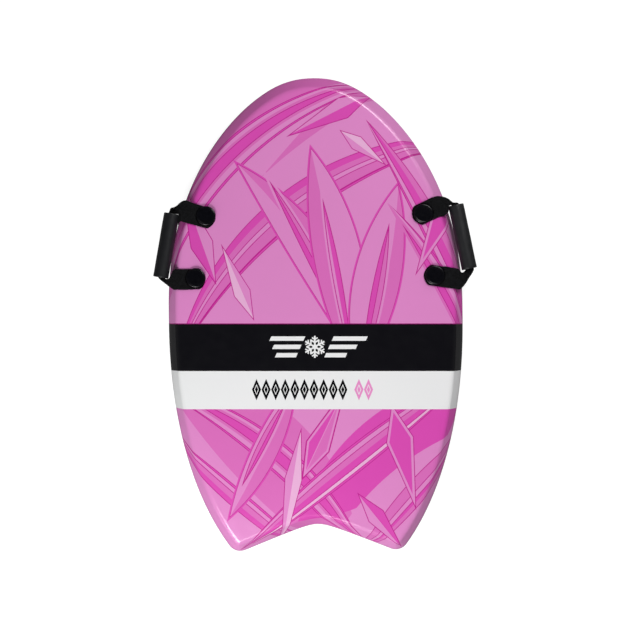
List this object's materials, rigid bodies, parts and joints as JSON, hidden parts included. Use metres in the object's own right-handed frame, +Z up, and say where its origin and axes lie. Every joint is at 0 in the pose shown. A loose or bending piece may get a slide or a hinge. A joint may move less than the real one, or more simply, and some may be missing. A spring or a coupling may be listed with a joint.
{
  "type": "foam snow slider board",
  "caption": "Foam snow slider board, egg-shaped nose, swallow tail, slick bottom, with a webbing hand loop and foam grip at each side.",
  "frame": {"origin": "centre of the board's outline on the plane that the slick bottom rests on", "axes": "+X to the rider's right, +Y towards the nose, +Z up out of the deck"},
  "size_m": [0.5475, 0.8003, 0.0583],
  "materials": {
    "core_foam": "white expanded foam block, hidden inside",
    "deck_film": "glossy printed film in pinks with one black and one white band",
    "slick_sheet": "smooth black slick sheet",
    "plug_plastic": "satin black moulded plastic",
    "webbing": "black woven webbing",
    "grip_foam": "matte black foam rubber"
  },
  "bodies": {
    "board": {"foam_core": "core_foam", "deck_skin": "deck_film", "bottom_slick": "slick_sheet", "plug_cap_front_left": "plug_plastic", "plug_cap_rear_left": "plug_plastic", "plug_cap_front_right": "plug_plastic", "plug_cap_rear_right": "plug_plastic", "plug_base_front_left": "plug_plastic", "plug_base_rear_left": "plug_plastic", "plug_base_front_right": "plug_plastic", "plug_base_rear_right": "plug_plastic", "strap_end_front_left": "webbing", "strap_end_rear_left": "webbing", "strap_end_front_right": "webbing", "strap_end_rear_right": "webbing"},
    "left_handle": {"strap_loop_left": "webbing"},
    "left_grip": {"grip_tube_left": "grip_foam"},
    "right_handle": {"strap_loop_right": "webbing"},
    "right_grip": {"grip_tube_right": "grip_foam"}
  },
  "joints": [
    {"name": "left_handle_lift", "type": "hinge", "parent": "board", "child": "left_handle", "pos_m": [-0.21244, 0.12024, 0.0487], "axis": [0.1743, 0.9847, 0], "range_deg": [0, 168]},
    {"name": "left_grip_spin", "type": "hinge", "parent": "left_handle", "child": "left_grip", "pos_m": [-0.25141, 0.11982, 0.042], "axis": [0.1803, 0.9836, 0], "continuous": true},
    {"name": "right_handle_lift", "type": "hinge", "parent": "board", "child": "right_handle", "pos_m": [0.21244, 0.12024, 0.0487], "axis": [0.1743, -0.9847, 0], "range_deg": [0, 168]},
    {"name": "right_grip_spin", "type": "hinge", "parent": "right_handle", "child": "right_grip", "pos_m": [0.24971, 0.12942, 0.042], "axis": [-0.1975, 0.9803, 0], "continuous": true}
  ]
}
